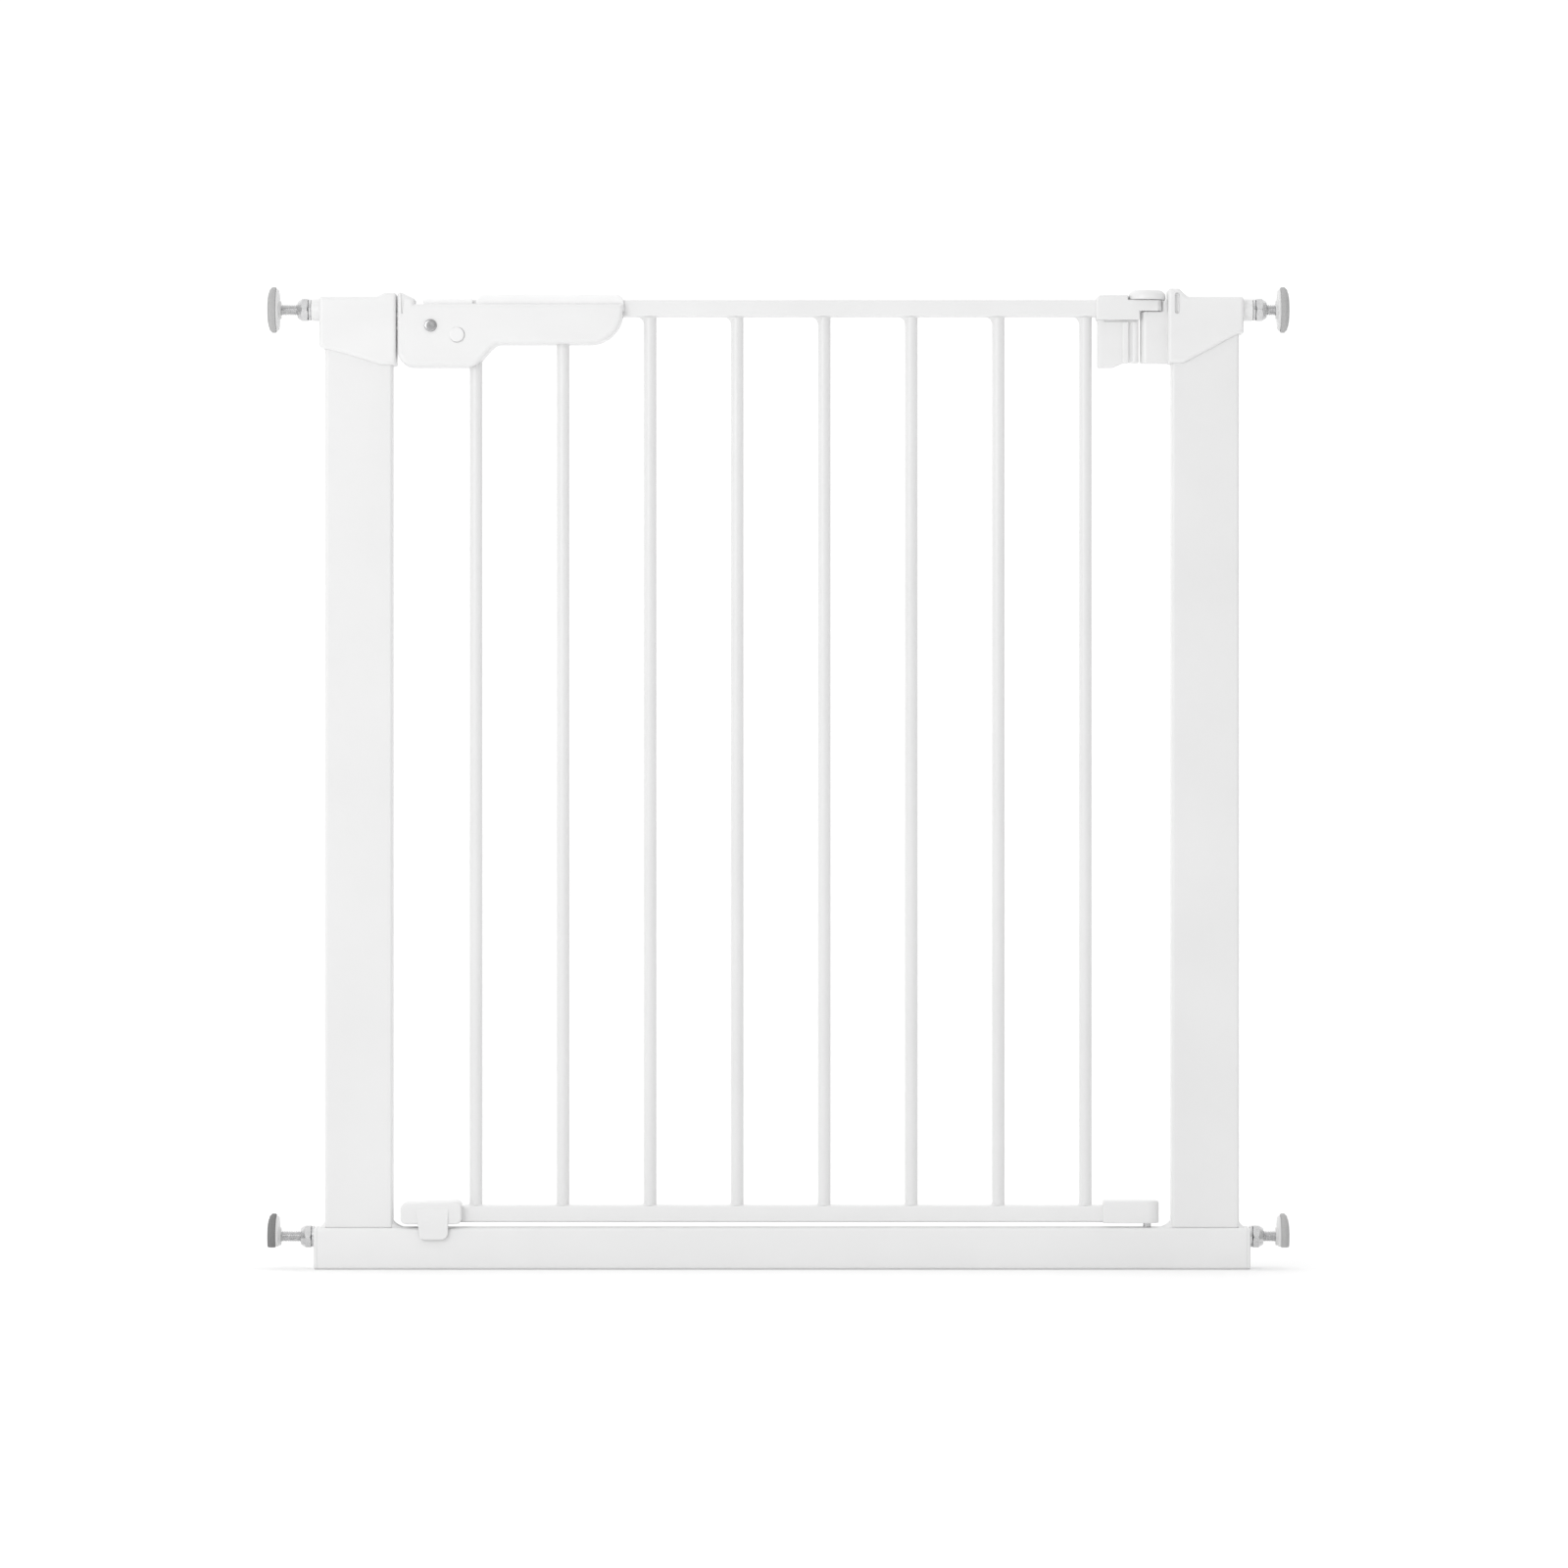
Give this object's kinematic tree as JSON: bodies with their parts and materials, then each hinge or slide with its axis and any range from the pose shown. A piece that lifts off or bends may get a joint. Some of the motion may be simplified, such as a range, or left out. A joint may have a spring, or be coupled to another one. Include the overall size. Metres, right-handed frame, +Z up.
{
  "type": "safety baby gate",
  "caption": "Pressure-fit doorway safety gate: a U frame held by threaded wall spindles, with a barred door that lifts, swings open and locks.",
  "frame": {"origin": "centre of the bottom rail's underside, where the gate meets the floor", "axes": "+X along the gate from the handle to the hinges, +Y towards the back, +Z up"},
  "size_m": [0.7621, 0.034, 0.7327],
  "materials": {
    "white_paint": "white powder coat, satin",
    "white_plastic": "white moulded plastic, satin gloss",
    "zinc_steel": "zinc-plated steel",
    "spring_steel": "plain spring steel",
    "grey_rubber": "light grey rubber, matt",
    "dark_rubber": "dark grey rubber, matt"
  },
  "bodies": {
    "frame": {"bottom_rail": "white_paint", "left_post": "white_paint", "right_post": "white_paint", "post_welds": "white_paint", "left_rail_plug": "white_plastic", "right_rail_plug": "white_plastic", "left_top_housing": "white_plastic", "right_top_housing": "white_plastic", "latch_keeper": "zinc_steel", "hinge_socket": "white_plastic", "left_housing_screws": "zinc_steel", "right_housing_screws": "zinc_steel", "lower_hinge_bush": "white_plastic", "washer_top_left": "zinc_steel", "washer_top_right": "zinc_steel", "washer_bottom_left": "zinc_steel", "washer_bottom_right": "zinc_steel"},
    "hinge_carrier": {"upper_hinge_pin": "zinc_steel", "hinge_cap": "white_plastic"},
    "door": {"door_top_rail": "white_paint", "door_bottom_rail": "white_paint", "bar_1": "white_paint", "bar_2": "white_paint", "bar_3": "white_paint", "bar_4": "white_paint", "bar_5": "white_paint", "bar_6": "white_paint", "bar_7": "white_paint", "bar_8": "white_paint", "bar_welds": "white_paint", "lower_catch_cap": "white_plastic", "lower_hinge_cap": "white_plastic", "lower_hinge_pin": "zinc_steel", "upper_hinge_arm": "white_plastic", "hinge_arm_screw": "zinc_steel", "handle_front_shell": "white_plastic", "handle_back_shell": "white_plastic", "handle_rivet": "zinc_steel", "handle_boss_cap": "white_plastic", "handle_screws": "zinc_steel"},
    "lock": {"lock_slide": "white_plastic", "latch_bolt": "zinc_steel", "lock_detent_spring": "spring_steel"},
    "spindle_top_left": {"spindle_rod_top_left": "zinc_steel", "pad_base_top_left": "white_plastic", "wall_pad_top_left": "grey_rubber"},
    "nut_top_left": {"adjusting_nut_top_left": "zinc_steel"},
    "spindle_top_right": {"spindle_rod_top_right": "zinc_steel", "pad_base_top_right": "white_plastic", "wall_pad_top_right": "grey_rubber"},
    "nut_top_right": {"adjusting_nut_top_right": "zinc_steel"},
    "spindle_bottom_left": {"spindle_rod_bottom_left": "zinc_steel", "pad_base_bottom_left": "white_plastic", "wall_pad_bottom_left": "dark_rubber"},
    "nut_bottom_left": {"adjusting_nut_bottom_left": "zinc_steel"},
    "spindle_bottom_right": {"spindle_rod_bottom_right": "zinc_steel", "pad_base_bottom_right": "white_plastic", "wall_pad_bottom_right": "grey_rubber"},
    "nut_bottom_right": {"adjusting_nut_bottom_right": "zinc_steel"}
  },
  "joints": [
    {"name": "door_lift", "type": "slide", "parent": "frame", "child": "hinge_carrier", "axis": [0, 0, 1], "range_m": [0, 0.012]},
    {"name": "door_swing", "type": "hinge", "parent": "hinge_carrier", "child": "door", "pos_m": [0.2725, 0, 0.35], "axis": [0, 0, 1], "range_deg": [0, 90]},
    {"name": "lock_slide", "type": "slide", "parent": "door", "child": "lock", "axis": [1, 0, 0], "range_m": [-0.006, 0]},
    {"name": "spindle_slide_top_left", "type": "slide", "parent": "frame", "child": "spindle_top_left", "axis": [-1, 0, 0], "range_m": [-0.012, 0.014]},
    {"name": "nut_turn_top_left", "type": "hinge", "parent": "frame", "child": "nut_top_left", "pos_m": [-0.357, 0, 0.7157], "axis": [-1, 0, 0], "range_deg": [-4037, 3461]},
    {"name": "spindle_slide_top_right", "type": "slide", "parent": "frame", "child": "spindle_top_right", "axis": [1, 0, 0], "range_m": [-0.0065, 0.018]},
    {"name": "nut_turn_top_right", "type": "hinge", "parent": "frame", "child": "nut_top_right", "pos_m": [0.357, 0, 0.7157], "axis": [1, 0, 0], "range_deg": [-5189, 1877]},
    {"name": "spindle_slide_bottom_left", "type": "slide", "parent": "frame", "child": "spindle_bottom_left", "axis": [-1, 0, 0], "range_m": [-0.014, 0.014]},
    {"name": "nut_turn_bottom_left", "type": "hinge", "parent": "frame", "child": "nut_bottom_left", "pos_m": [-0.357, 0, 0.024], "axis": [-1, 0, 0], "range_deg": [-4037, 4037]},
    {"name": "spindle_slide_bottom_right", "type": "slide", "parent": "frame", "child": "spindle_bottom_right", "axis": [1, 0, 0], "range_m": [-0.009, 0.018]},
    {"name": "nut_turn_bottom_right", "type": "hinge", "parent": "frame", "child": "nut_bottom_right", "pos_m": [0.357, 0, 0.024], "axis": [1, 0, 0], "range_deg": [-5189, 2597]}
  ],
  "couplings": [
    {"joint": "nut_turn_top_left", "follows": "spindle_slide_top_left", "rad_per_m": -5026.5},
    {"joint": "nut_turn_top_right", "follows": "spindle_slide_top_right", "rad_per_m": -5026.5},
    {"joint": "nut_turn_bottom_left", "follows": "spindle_slide_bottom_left", "rad_per_m": -5026.5},
    {"joint": "nut_turn_bottom_right", "follows": "spindle_slide_bottom_right", "rad_per_m": -5026.5}
  ]
}
